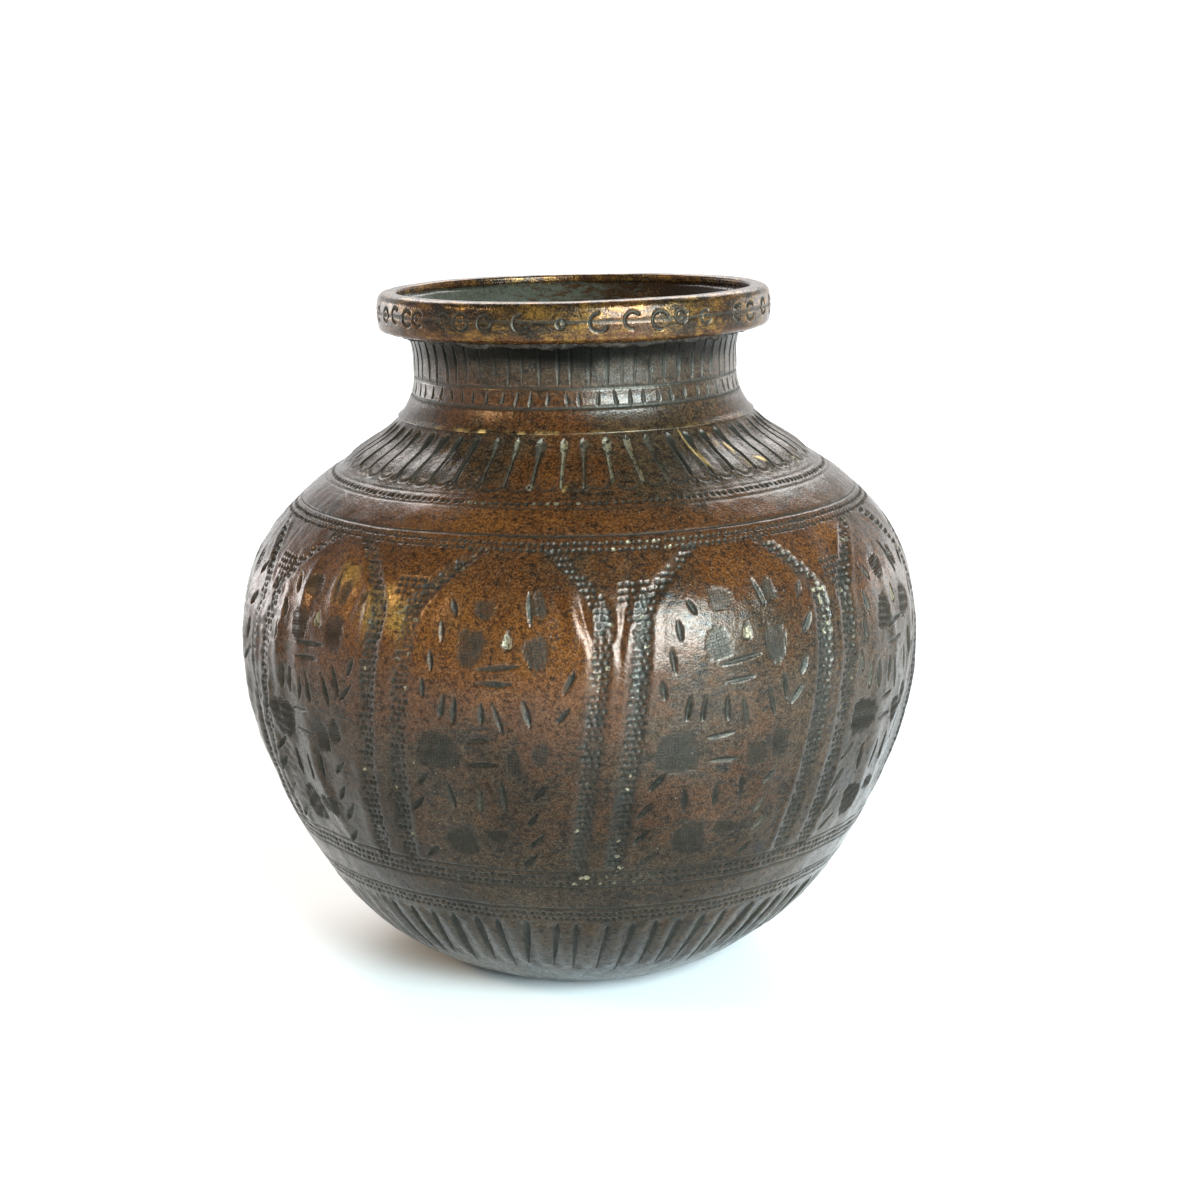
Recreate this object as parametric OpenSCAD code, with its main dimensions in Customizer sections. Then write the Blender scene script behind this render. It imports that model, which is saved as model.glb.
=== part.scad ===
// Lota: a round-bellied brass water pot, beaten from sheet and brazed together.
// Z runs up the axis of the pot and the foot stands on z = 0.

/* [Body] */
// Widest diameter of the belly
belly_d = 130; // [116:1:144]
// Height of the belly's widest line, where its two halves meet
belly_z = 67; // [60:1:74]
// Diameter of the flat foot that the pot stands on
foot_d = 48; // [40:1:56]
// Depth of the hollow beaten up into the middle of the foot
foot_hollow = 0.8; // [0.4:0.1:1.5]

/* [Neck and mouth] */
// Height of the whole pot
total_h = 130.5; // [124:0.5:140]
// Diameter of the neck at its waist, outside
neck_d = 61.6; // [55:0.2:62.2]
// Height of the straight stretch at the waist of the neck
waist_h = 3; // [2:0.5:4]
// Diameter of the rim ring, outside
rim_d = 74.8; // [74:0.2:80]
// Height of the rim ring
rim_h = 7.3; // [6.8:0.1:9]
// Radius of the rim ring's upper outer corner
rim_round = 1.6; // [1:0.1:2]

/* [Metal and seams] */
// Thickness of the beaten sheet
wall = 1.5; // [1.2:0.1:1.8]
// Teeth that each half of the belly locks into the other at the seam
seam_teeth = 24; // [12:2:36]
// Thickness of the braze that floods the belly seam inside
braze_t = 0.6; // [0.4:0.1:1]
// Width of the braze fillet under the rim ring
rim_fillet = 1.6; // [1:0.1:2.4]

/* [Hidden] */
$fn = 96;

belly_r = belly_d / 2;
foot_r = foot_d / 2;
neck_r = neck_d / 2;
rim_r = rim_d / 2;
rim_z = total_h - rim_h;
flare_h = 5.7;
waist_top = rim_z - flare_h;
waist_z = waist_top - waist_h;
hollow_r = foot_r - 4.5;
hollow_slope = 2;
sheet_h = 5;
rim_low_round = 1.1;
lip_round = 0.5;
face_bulge = 0.25;
arc_steps = 6;
tooth_overshoot = 5;
tooth_crown = 1.02;
bowl_inside_start = 0.03;
braze_edge = 0.05;
braze_edge_share = 0.35;
bead_r = 0.9;
bead_drop = 0.2;
bead_rise = 0.6;
fillet_start = 0.75;
fillet_waist = 0.4;
fillet_sag = 0.35;
curve_steps = 20;
short_steps = 4;
seam_low = 0.96;
seam_high = 0.2;
lap_start = 0.7;
lap_end = 0.86;
bead_reach = 0.04;

// A place on the shoulder: out runs from the waist (0) to the belly (1),
// and up runs from the belly line (0) to the foot of the waist (1).
function place(out, up) = [
  neck_r + out * (belly_r - neck_r),
  belly_z + up * (waist_z - belly_z)
];

// The outside of the pot from foot to rim as cubic curves, each [r, z].
bowl_curve = [
  [foot_r, 0], [0.805 * belly_r, 0.13 * belly_z],
  [belly_r, 0.67 * belly_z], [belly_r, belly_z]
];
shoulder_curve = [place(1, 0), place(1, 0.087), place(0.954, 0.37), place(0.59, 0.575)];
collar_curve = [place(0.59, 0.575), place(0.395, 0.685), place(0, 0.796), place(0, 1)];
flare_curve = [
  [neck_r, waist_top], [neck_r, waist_top + 2],
  [neck_r + 0.4, rim_z - 2.2], [neck_r + 1.2, rim_z]
];
lip_curve = [
  [neck_r + 1.2, rim_z], [neck_r + 1.8, rim_z + 1.8],
  [neck_r + 2.7, rim_z + 3.4], [neck_r + 3.9, rim_z + sheet_h]
];

// Point and unit tangent of a cubic curve c at t.
function on(c, t) =
  pow(1 - t, 3) * c[0] + 3 * t * pow(1 - t, 2) * c[1]
  + 3 * t * t * (1 - t) * c[2] + pow(t, 3) * c[3];
function slope(c, t) =
  pow(1 - t, 2) * (c[1] - c[0]) + 2 * t * (1 - t) * (c[2] - c[1]) + t * t * (c[3] - c[2]);
function unit(v) = v / norm(v);

// The same point moved depth into the metal, square to the curve.
function in_from(c, t, depth) =
  let (d = unit(slope(c, t))) on(c, t) + depth * [-d[1], d[0]];

// Points along curve c from t0 to t1, at a depth below the outside.
function run(c, t0, t1, steps, depth = 0) =
  [for (i = [0:steps]) in_from(c, t0 + (t1 - t0) * i / steps, depth)];
function backwards(pts) = [for (i = [len(pts) - 1:-1:0]) pts[i]];
function arc(centre, r, a0, a1) = [
  for (i = [0:arc_steps])
    let (a = a0 + (a1 - a0) * i / arc_steps) centre + r * [cos(a), sin(a)]
];

// A ring of sheet metal between the outside curve and the same curve at depth d1.
function sheet(outside, inside) = concat(outside, backwards(inside));

// The stretch of belly wall in which the teeth of the two halves interlock.
function seam_wall(depth) = concat(
  run(bowl_curve, seam_low, 1, 2, depth),
  [for (i = [1:short_steps]) in_from(shoulder_curve, seam_high * i / short_steps, depth)]
);

// Wedge-shaped blocks, one for each tooth, that start at the angle given.
module tooth_blocks(start) {
  half = 90 / seam_teeth;
  reach = belly_r + tooth_overshoot;
  for (i = [0:seam_teeth - 1])
    rotate(start + i * 360 / seam_teeth)
      linear_extrude(total_h)
        polygon([
          [0, 0], reach * [cos(half), -sin(half)],
          [reach / cos(half), 0] * tooth_crown, reach * [cos(half), sin(half)]
        ]);
}

module seam_teeth_ring(start) {
  intersection() {
    rotate_extrude() polygon(sheet(seam_wall(0), seam_wall(wall)));
    tooth_blocks(start);
  }
}

// Bottom half of the belly with its foot, beaten from one disc.
module lower_bowl() {
  outside = run(bowl_curve, 0, seam_low, curve_steps);
  inside = run(bowl_curve, bowl_inside_start, seam_low, curve_steps, wall);
  foot_outside = [
    [0, foot_hollow], [hollow_r - hollow_slope, foot_hollow], [hollow_r, 0]
  ];
  foot_inside = [
    [0, foot_hollow + wall], [hollow_r - hollow_slope, foot_hollow + wall],
    [hollow_r, wall], [foot_r, wall]
  ];
  color([0.36, 0.26, 0.18]) {
    rotate_extrude()
      polygon(concat(
        foot_outside, outside, backwards(inside), backwards(foot_inside)
      ));
    seam_teeth_ring(0);
  }
}

// Top half of the belly, drawn in to the tongue that the neck is lapped over.
module upper_body() {
  outside = concat(
    run(shoulder_curve, seam_high, 1, curve_steps),
    [for (i = [1:curve_steps]) on(collar_curve, lap_start * i / curve_steps)]
  );
  inside = concat(
    run(shoulder_curve, seam_high, 1, curve_steps, wall),
    [for (i = [1:curve_steps]) in_from(collar_curve, lap_start * i / curve_steps, wall)]
  );
  tongue = concat(
    run(collar_curve, lap_start, lap_end, short_steps, wall / 2),
    backwards(run(collar_curve, lap_start, lap_end, short_steps, wall))
  );
  color([0.42, 0.28, 0.17]) {
    rotate_extrude() polygon(concat(outside, tongue, backwards(inside)));
    seam_teeth_ring(180 / seam_teeth);
  }
}

// Drawn collar: half-lapped over the tongue below, and let into the rim ring above.
module neck() {
  rebate = run(collar_curve, lap_start, lap_end, short_steps, wall / 2);
  color([0.32, 0.24, 0.18])
    rotate_extrude()
      polygon(concat(
        run(collar_curve, lap_start, lap_end, short_steps),
        run(collar_curve, lap_end, 1, short_steps),
        run(flare_curve, 0, 1, short_steps),
        run(lip_curve, 0, 1, short_steps),
        backwards(run(lip_curve, 0, 1, short_steps, wall)),
        backwards(run(flare_curve, 0, 1, short_steps, wall)),
        backwards(run(collar_curve, lap_end, 1, short_steps, wall)),
        backwards(rebate)
      ));
}

// Thick cast ring that caps the edge of the neck.
module rim_ring() {
  low = [rim_r - face_bulge - rim_low_round, rim_z + rim_low_round];
  high = [rim_r - face_bulge - rim_round, total_h - rim_round];
  mouth = in_from(lip_curve, 1, wall);
  brow = [mouth[0] + lip_round, total_h - lip_round];
  color([0.55, 0.36, 0.16])
    rotate_extrude()
      polygon(concat(
        arc(low, rim_low_round, -90, 0),
        [[rim_r, (rim_z + total_h) / 2]],
        arc(high, rim_round, 0, 90),
        arc(brow, lip_round, 90, 180),
        [mouth],
        backwards(run(lip_curve, 0, 1, short_steps))
      ));
}

// Share of the full braze thickness at height z: thin at the seam's edges, full between them.
function braze_share(z) =
  let (
    z0 = on(bowl_curve, seam_low)[1],
    z1 = on(shoulder_curve, seam_high)[1],
    u = (z - z0) / (z1 - z0)
  ) u < braze_edge || u > 1 - braze_edge ? braze_edge_share : 1;

// Spelter that flooded the toothed seam on the inside of the belly.
module belly_braze() {
  color([0.60, 0.50, 0.28])
    rotate_extrude()
      polygon(concat(
        seam_wall(wall),
        backwards([for (p = seam_wall(wall)) p - [braze_t * braze_share(p[1]), 0]])
      ));
}

// Spelter bead that closes the lap of neck and shoulder on the inside.
module neck_braze() {
  a = in_from(collar_curve, lap_end - bead_reach, wall);
  b = in_from(collar_curve, lap_end, wall);
  c = in_from(collar_curve, lap_end + bead_reach, wall);
  color([0.60, 0.50, 0.28])
    rotate_extrude()
      polygon([a, b, c, b + [-bead_r, bead_drop], b - [bead_r, bead_rise]]);
}

// Rough braze fillet in the corner under the rim ring.
module rim_braze() {
  corner = on(flare_curve, 1);
  color([0.20, 0.16, 0.12])
    rotate_extrude()
      polygon([
        in_from(flare_curve, fillet_start, 0), corner, corner + [rim_fillet, 0],
        corner + [fillet_waist * rim_fillet, -fillet_sag * rim_fillet]
      ]);
}

lower_bowl();
upper_body();
neck();
rim_ring();
belly_braze();
neck_braze();
rim_braze();
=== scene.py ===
import math

import bpy
import numpy as np
from mathutils import Euler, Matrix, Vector


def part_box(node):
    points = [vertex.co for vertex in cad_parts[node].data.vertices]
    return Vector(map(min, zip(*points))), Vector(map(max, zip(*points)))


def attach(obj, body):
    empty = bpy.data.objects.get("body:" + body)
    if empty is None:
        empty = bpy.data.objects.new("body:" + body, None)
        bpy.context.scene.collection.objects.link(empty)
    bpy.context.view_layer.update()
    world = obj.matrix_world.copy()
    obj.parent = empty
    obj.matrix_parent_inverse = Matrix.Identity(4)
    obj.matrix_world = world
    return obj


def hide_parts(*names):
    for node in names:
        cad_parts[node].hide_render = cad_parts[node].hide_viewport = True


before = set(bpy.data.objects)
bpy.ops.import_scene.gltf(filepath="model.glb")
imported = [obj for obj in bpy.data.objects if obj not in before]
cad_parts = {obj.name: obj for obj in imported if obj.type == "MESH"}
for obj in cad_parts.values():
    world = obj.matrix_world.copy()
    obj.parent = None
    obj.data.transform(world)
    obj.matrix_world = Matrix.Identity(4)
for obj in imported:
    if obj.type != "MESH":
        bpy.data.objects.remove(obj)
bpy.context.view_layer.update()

# Lengths below are millimetres, angles are degrees and heights on the wall are
# arc lengths from the belly line, positive upwards. MM turns millimetres into metres.
MM = 0.001
COLUMNS = 1440
DRAWS = np.random.default_rng(11)


def box_mm(node):
    """The corners of a CAD node's box in mm."""
    low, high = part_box(node)
    return Vector(low) / MM, Vector(high) / MM


# ---- the outline
ring_low, ring_high = box_mm("rim_ring")
BELLY_R = box_mm("lower_bowl")[1].x
RIM_R = ring_high.x
RIM_Z = ring_low.z
TOTAL_H = ring_high.z
BELLY_Z = 67.0
FOOT_R = 24.0
NECK_R = 30.8
WALL = 1.5
WAIST_TOP = RIM_Z - 5.7
WAIST_Z = WAIST_TOP - 3.0
LAP_START = 0.7
LAP_END = 0.86


def place(out, up):
    """A place on the shoulder: out runs from waist to belly, up from belly line to waist."""
    return (NECK_R + out * (BELLY_R - NECK_R), BELLY_Z + up * (WAIST_Z - BELLY_Z))


def cubic(points, t):
    """Points of a cubic curve at each t, as rows of [r, z]."""
    p = np.array(points, float)
    t = np.asarray(t, float)[:, None]
    return ((1 - t) ** 3 * p[0] + 3 * t * (1 - t) ** 2 * p[1]
            + 3 * t * t * (1 - t) * p[2] + t ** 3 * p[3])


BOWL = [(FOOT_R, 0), (0.805 * BELLY_R, 0.13 * BELLY_Z),
        (BELLY_R, 0.67 * BELLY_Z), (BELLY_R, BELLY_Z)]
SHOULDER = [place(1, 0), place(1, 0.087), place(0.954, 0.37), place(0.59, 0.575)]
COLLAR = [place(0.59, 0.575), place(0.395, 0.685), place(0, 0.796), place(0, 1)]
FLARE = [(NECK_R, WAIST_TOP), (NECK_R, WAIST_TOP + 2),
         (NECK_R + 0.4, RIM_Z - 2.2), (NECK_R + 1.2, RIM_Z)]
LIP = [(NECK_R + 1.2, RIM_Z), (NECK_R + 1.8, RIM_Z + 1.8),
       (NECK_R + 2.7, RIM_Z + 3.4), (NECK_R + 3.9, RIM_Z + 5)]


class Path:
    """A line in the r, z half-plane, sampled finely, that can be walked by arc length."""

    def __init__(self, points, start=0.0):
        points = np.array(points, float)
        step = np.hypot(*np.diff(points, axis=0).T)
        keep = np.concatenate([[True], step > 1e-6])
        self.points = points[keep]
        step = np.hypot(*np.diff(self.points, axis=0).T)
        self.s = np.concatenate([[0], np.cumsum(step)]) + start
        slope = np.gradient(self.points, self.s, axis=0)
        slope /= np.hypot(*slope.T)[:, None]
        self.normal = np.stack([slope[:, 1], -slope[:, 0]], -1)

    def at(self, s, table=None):
        table = self.points if table is None else table
        return np.stack([np.interp(s, self.s, column) for column in table.T], -1)

    def normal_at(self, s):
        n = self.at(s, self.normal)
        return n / np.hypot(*n.T)[:, None]

    def s_at_z(self, z):
        return float(np.interp(z, self.points[:, 1], self.s))


FINE = np.linspace(0, 1, 400)
bowl_line = cubic(BOWL, FINE)
bowl_length = np.hypot(*np.diff(bowl_line, axis=0).T).sum()
wall_path = Path(np.concatenate([bowl_line, cubic(SHOULDER, FINE), cubic(COLLAR, FINE),
                                 cubic(FLARE, FINE), cubic(LIP, FINE)]), -bowl_length)
FOOT_S = wall_path.s[0]
LIP_S = wall_path.s[-1]
SEAM_S = wall_path.s_at_z(cubic(COLLAR, [LAP_START])[0, 1])
LAP_S = wall_path.s_at_z(cubic(COLLAR, [LAP_END])[0, 1])
RIM_S = wall_path.s_at_z(RIM_Z)


def inner_point(s):
    """The place on the inner face of the wall at height s, as [r, z]."""
    return (wall_path.at([s]) - WALL * wall_path.normal_at([s]))[0]


# ---- struck and beaten relief
def smooth(t):
    t = np.clip(t, 0, 1)
    return t * t * (3 - 2 * t)


def turn_gap(a, b):
    """The signed angle from b to a, from -180 to 180."""
    return (a - b + 180) % 360 - 180


def softened(field, reach):
    """A map averaged over reach rows and columns each way, twice."""
    for _ in range(2):
        for axis in (0, 1):
            total = np.zeros_like(field)
            for k in range(-reach, reach + 1):
                moved = np.roll(field, k, axis)
                if axis == 0 and k > 0:
                    moved[:k] = field[:1]
                if axis == 0 and k < 0:
                    moved[k:] = field[-1:]
                total += moved
            field = total / (2 * reach + 1)
    return field


def turned(across, along, lean):
    """Offsets across and along a mark that leans lean degrees to the right at its top."""
    c, d = math.cos(math.radians(lean)), math.sin(math.radians(lean))
    return c * across - d * along, d * across + c * along


# How much deeper a mark sinks than it is struck, and the burr it throws up.
SINK = 1.15
BURR = 0.4
BURR_REACH = 2


class Relief:
    """Heights over a wall, on a grid of rows up the path and columns round the axis.

    swell is metal pushed out and cut is metal struck in. The other maps steer the finish:
    pale is cream dust in a mark, warm is red-brown patina that in a few small spots and
    along the ring's lower edge also paints a golden highlight, rubbed is bare brass that on
    the neck step also paints a glint, film is thin grey dirt, and the black map is painted
    shade under the ring and inside the mouth and a darkening towards the foot.
    Column angle 0 faces the front and grows towards +X."""

    def __init__(self, path, rows, columns):
        self.path, self.s, self.columns = path, np.asarray(rows, float), columns
        self.r = np.maximum(path.at(self.s)[:, 0], 1.0)
        self.theta = np.arange(columns) * 360.0 / columns
        blank = np.zeros((7, len(self.s), columns))
        self.swell, self.cut, self.pale, self.warm, self.rubbed, self.film, self.soot = blank

    def window(self, theta, s, reach):
        """Rows and columns within reach of a place, with offsets across and along in mm."""
        low, high = np.searchsorted(self.s, [s - reach, s + reach])
        r = float(np.interp(s, self.s, self.r))
        step = 360.0 / self.columns
        half = math.degrees(reach / r)
        numbers = np.arange(math.floor((theta - half) / step), math.ceil((theta + half) / step) + 1)
        across = np.radians(numbers * step - theta)[None, :] * self.r[low:high, None]
        along = np.repeat((self.s[low:high] - s)[:, None], len(numbers), 1)
        return np.ix_(np.arange(low, high), numbers % self.columns), across, along

    def strike(self, theta, s, reach, punch, turn=0.0, pale=0.0):
        """Drives a punch in, leaning turn degrees to the right at its top.

        punch gives its depth at offsets a across and b along it."""
        where, across, along = self.window(theta, s, reach)
        depth = punch(*turned(across, along, turn))
        self.cut[where] = np.maximum(self.cut[where], depth)
        if pale:
            self.pale[where] = np.maximum(self.pale[where], pale * (depth > 0.04))

    def rub(self, theta, s, reach, shape, turn=0.0):
        """Bares the brass over a shape, leaning turn degrees to the right at its top."""
        where, across, along = self.window(theta, s, reach)
        bare = shape(*turned(across, along, turn))
        self.rubbed[where] = np.maximum(self.rubbed[where], bare)

    def bump(self, field, theta, s, wide, tall, amount):
        """Adds a soft round hill to a map, wide degrees across and tall mm along."""
        field += (amount * np.exp(-(turn_gap(self.theta, theta)[None, :] / wide) ** 2)
                  * np.exp(-((self.s[:, None] - s) / tall) ** 2))

    def fold(self, theta, s, length, width, lean, amount):
        """Raises a long soft fold, leaning lean degrees to the right at its top."""
        where, across, along = self.window(theta, s, length)
        a, b = turned(across, along, lean)
        self.swell[where] += amount * np.exp(-(a / width) ** 2 - (2 * b / length) ** 2)

    def height(self):
        """The finished surface: each mark also throws up a low burr round itself."""
        return self.swell - SINK * self.cut + BURR * softened(self.cut, BURR_REACH)


def noise(relief, cell, seed, tall=1.0):
    """Smooth random heights from -1 to 1 in lumps cell mm across and tall times as high."""
    draws = np.random.default_rng(seed)
    rows = max(2, int(np.ptp(relief.s) / (cell * tall)) + 2)
    around = max(4, int(2 * math.pi * relief.r.max() / cell))
    grid = draws.uniform(-1, 1, (rows + 1, around))
    u = (relief.s - relief.s[0]) / (cell * tall)
    v = relief.theta / 360 * around
    i, j = np.minimum(u.astype(int), rows - 1), v.astype(int)
    fu, fv = smooth(u - i)[:, None], smooth(v - j)[None, :]
    j0, j1 = j % around, (j + 1) % around
    a, b = grid[i][:, j0], grid[i][:, j1]
    c, d = grid[i + 1][:, j0], grid[i + 1][:, j1]
    return (a * (1 - fv) + b * fv) * (1 - fu) + (c * (1 - fv) + d * fv) * fu


# Punches: each returns a function of offsets a across and b along that gives a depth.
def leaf(length, width, depth, belly=0.5):
    """A chisel mark with a V section, pointed at both ends and widest at belly of its length."""
    def cut(a, b):
        t = np.clip(b / length + 0.5, 0, 1)
        shape = np.where(t < belly, t / belly, (1 - t) / (1 - belly))
        half = width / 2 * np.sqrt(smooth(shape))
        return depth * np.clip(1 - np.abs(a) / np.maximum(half, 1e-3), 0, 1) ** 0.8 * (half > 0.03)
    return cut


def wedge(length, width, depth):
    """A mark that is broad and blunt at its foot and comes to a point at its top."""
    return leaf(length, width, depth, 0.16)


def pit(size, depth):
    """A small square pit with soft corners."""
    def cut(a, b):
        away = (np.abs(a) ** 4 + np.abs(b) ** 4) ** 0.25
        return depth * smooth((size / 2 + 0.12 - away) / 0.3)
    return cut


MATTING_WAVE = 5.6
MATTING_DEPTH = 0.26


def matting(width, height, depth, phase):
    """A sunk patch with a ragged edge whose floor is matted with crossed punch marks."""
    def cut(a, b):
        turn = np.arctan2(b / height, a / width)
        ragged = 1 + 0.08 * np.sin(3 * turn + phase) + 0.05 * np.sin(11 * turn + 2 * phase)
        away = (np.abs(2 * a / width) ** 2.5 + np.abs(2 * b / height) ** 2.5) ** 0.4 * ragged
        inside = smooth((1.1 - away) * min(width, height) / 1.5)
        marks = np.sin(MATTING_WAVE * (a + b) + phase) * np.sin(MATTING_WAVE * (a - b) + 1.7 * phase)
        return inside * np.maximum(depth + MATTING_DEPTH * marks, 0)
    return cut


def ring_punch(radius, width, depth, gap_turn, gap):
    """A round or horseshoe mark: a circle that stays open over gap degrees."""
    def cut(a, b):
        away = np.abs(np.hypot(a, b) - radius)
        turn = turn_gap(np.degrees(np.arctan2(b, a)), gap_turn)
        shut = smooth((np.abs(turn) - gap / 2) / 12)
        return depth * np.clip(1 - away / (width / 2), 0, 1) * shut
    return cut


def teardrop(length, head, tail, depth):
    """A long stroke struck with a round head at its top that thins to a line."""
    def cut(a, b):
        t = 0.5 - b / length
        half = tail + (head - tail) * np.exp(-((t - 0.13) / 0.17) ** 2)
        half = half * smooth(t / 0.06) * smooth((1.02 - t) / 0.06)
        return depth * np.clip(1 - np.abs(a) / np.maximum(half, 1e-3), 0, 1) ** 0.7 * (half > 0.03)
    return cut


def spread(amount):
    """The next random draw, between -amount and amount."""
    return float(DRAWS.uniform(-amount, amount))


# ---- the bands up the wall
NECK_RIBS = (SEAM_S + 8.6, RIM_S - 0.4)
LINE_1 = SEAM_S + 8.6
LINE_2 = SEAM_S + 5.1
PETAL_TOP = SEAM_S - 0.6
PETAL_END = 39.6
BEADS_1 = 36.2
BEADS_2 = (27.2, 25.9)
PANEL_TOP = 25.2
PANEL_END = -34.8
BEADS_3 = (-35.8, -37.2)
BEADS_4 = (-44.9, -46.3)
FLUTE_TOP = -47.6
FLUTE_END = -65.0
PETALS = 56
FLUTES = 68
RIBS = 66
SPECKS = 420

# The panels' posts stand at these angles; the first four are in front.
POSTS = [-63, -30, 7, 45.5, 81, 116, 152, 188, 225, 261]
DUSTY_STRIP = (45.5, -1)
PIT_PITCH = 1.12
PIT_STEP = 1.2
MISSED_PITS = 0.07
POST_HALF = 3.0
POST_LEAN = 0.085
POST_WAIST = 10.0
FLARE_FROM = 13.0
FLARE_BY = 9.0


def strip_angle(post, side, s):
    """Angle at s of one of a post's two strips of pits. At the top they part into arches."""
    part = FLARE_BY * np.clip((np.asarray(s) - FLARE_FROM) / (PANEL_TOP - FLARE_FROM), 0, 1) ** 1.4
    return post + side * (POST_HALF + part) + POST_LEAN * (np.asarray(s) - POST_WAIST)


def bead_row(relief, s, pitch=1.12, size=0.72, depth=0.2, dusty=(0, 25)):
    """A row of small pits. dusty gives the angle and width of the stretch with cream dust."""
    r = float(np.interp(s, relief.s, relief.r))
    count = round(2 * math.pi * r / pitch)
    start = spread(1)
    for k in range(count):
        theta = start + (k + spread(0.14)) * 360 / count
        level = s + 0.25 * math.sin(math.radians(3 * theta + 10 * s)) + spread(0.08)
        near = math.exp(-(turn_gap(theta, dusty[0]) / dusty[1]) ** 2)
        relief.strike(theta, level, 1.2, pit(size + spread(0.1), depth + spread(0.05)),
                      spread(12), pale=DRAWS.random() * near + 0.4 * (DRAWS.random() < 0.04))


def turned_line(relief, s, width, depth):
    """A line scribed round the wall that wanders a little."""
    turns = np.radians(relief.theta)
    wander = sum(0.12 / k * np.sin(k * turns + 1.3 * k * s) for k in (2, 3, 5, 8, 13))
    away = np.abs(relief.s[:, None] - s - wander)
    relief.cut = np.maximum(relief.cut, depth * np.clip(1 - 2 * away / width, 0, 1))


# Worn streaks on the petals: angle, height on the wall, length and lean in degrees.
STREAKS = [(34.5, 47.5, 11, -8), (43.5, 49.5, 3.5, -4), (47, 45, 8, -6), (53.5, 42.5, 3.5, -50),
           (-2, 40, 2, 30), (158, 46, 7, 5), (216, 47, 9, -6)]


def petals(relief):
    """Long ribs down the shoulder, parted by chisel strokes with round heads."""
    pitch = 360 / PETALS
    for k in range(PETALS):
        theta = (k + 0.5) * pitch + spread(0.8)
        length = PETAL_TOP - PETAL_END - 0.8 + spread(1.0)
        dusty = math.exp(-(turn_gap(theta, 5) / 50) ** 2)
        relief.strike(theta, PETAL_TOP - length / 2, length / 2 + 1,
                      teardrop(length, 0.85 + spread(0.2), 0.34 + spread(0.08), 0.5 + spread(0.08)),
                      spread(3), pale=dusty * (0.78 + spread(0.2)))
        foot = ring_punch(1.75 + spread(0.2), 0.8, 0.13, 90 + spread(12), 200)
        relief.strike(theta + pitch / 2, PETAL_END + 1.7 + spread(0.3), 3.2, foot)
        if DRAWS.random() < 0.4:
            relief.strike(theta + spread(0.6), PETAL_END + 0.6, 1.6,
                          ring_punch(0.55, 0.5, 0.2, 0, 0), pale=DRAWS.random())
    for theta, s, length, lean in STREAKS:
        relief.rub(theta, s, length / 2 + 1, leaf(length, 1.3, 0.9), lean)
    phase = (relief.theta[None, :] / pitch) % 1 - 0.5
    zone = smooth((relief.s - PETAL_END) / 2) * smooth((PETAL_TOP + 0.5 - relief.s) / 2)
    side_on = 0.3 + 0.7 * np.sin(np.radians(relief.theta))[None, :] ** 4
    relief.swell += zone[:, None] * (0.22 * side_on * (1 - (2 * phase) ** 2) - 0.08)
    above = relief.s[:, None] - PETAL_END
    relief.swell += 0.4 * np.exp(-((above - 4.0) / 4.0) ** 2) * smooth((above + 1.6) / 2.6)


def flutes(relief):
    """Slanted strokes round the foot of the bowl, broad at the top and thin below."""
    pitch = 360 / FLUTES
    for k in range(FLUTES):
        length = FLUTE_TOP - FLUTE_END + spread(1.6)
        mark = leaf(length, 1.5 + spread(0.35), 0.38 + spread(0.1), 0.86)
        relief.strike((k + spread(0.14)) * pitch, FLUTE_TOP - length / 2 + spread(0.4),
                      length / 2 + 1, mark, 4 + spread(4))
    # Greyer and darker towards the foot.
    under = smooth((FLUTE_TOP - 5 - relief.s) / 14)[:, None]
    relief.film += 0.4 * under
    relief.soot += under * np.clip(0.1 + 0.25 * noise(relief, 8, 33), 0, 1)
    zone = smooth((relief.s - FLUTE_END) / 3) * smooth((FLUTE_TOP - relief.s) / 2)
    relief.swell -= 0.2 * zone[:, None] * np.cos(2 * np.pi * (relief.theta / pitch % 1))


def neck_marks(relief):
    """Upright ribs under the rim, two turned lines and a row of short nicks between them."""
    tall = NECK_RIBS[1] - NECK_RIBS[0]
    for k in range(RIBS):
        theta = (k + spread(0.16)) * 360 / RIBS
        faint = 0.4 + 0.6 * math.sin(math.radians(theta)) ** 2
        mark = leaf(tall + 1.2 + spread(1.4), 0.95 + spread(0.2), faint * (0.34 + spread(0.1)))
        relief.strike(theta, NECK_RIBS[0] + tall / 2 + 0.3, tall / 2 + 1.6, mark, spread(4))
        nick = wedge(2.7 + spread(0.4), 0.9, 0.28)
        relief.strike(theta + 2.6, (LINE_1 + LINE_2) / 2, 2, nick, spread(12),
                      pale=0.5 * DRAWS.random())
    turned_line(relief, LINE_1, 0.7, 0.22)
    turned_line(relief, LINE_2, 0.8, 0.24)
    # Painted shade: the wall just under the ring is blackened, most at the front.
    shade = 0.7 + 0.3 * np.exp(-(turn_gap(relief.theta, 0) / 50) ** 2)
    relief.soot += shade * smooth((relief.s[:, None] - RIM_S + 6.2 + noise(relief, 3, 47)) / 3.4)
    relief.film += 0.35 * smooth((relief.s[:, None] - LINE_1) / 2)
    step = np.clip(1 - (relief.s[:, None] - SEAM_S) / 1.4, 0, 1)
    relief.swell += 0.28 * step
    # Bare brass along the step's edge: wear, and at the front-left also a painted glint.
    worn = 0.08 + 0.6 * np.exp(-(turn_gap(relief.theta, -28) / 17) ** 2)
    relief.rubbed += smooth(step * 3 - 1) * worn[None, :] * smooth(0.3 + 1.5 * noise(relief, 1.6, 45))


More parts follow.
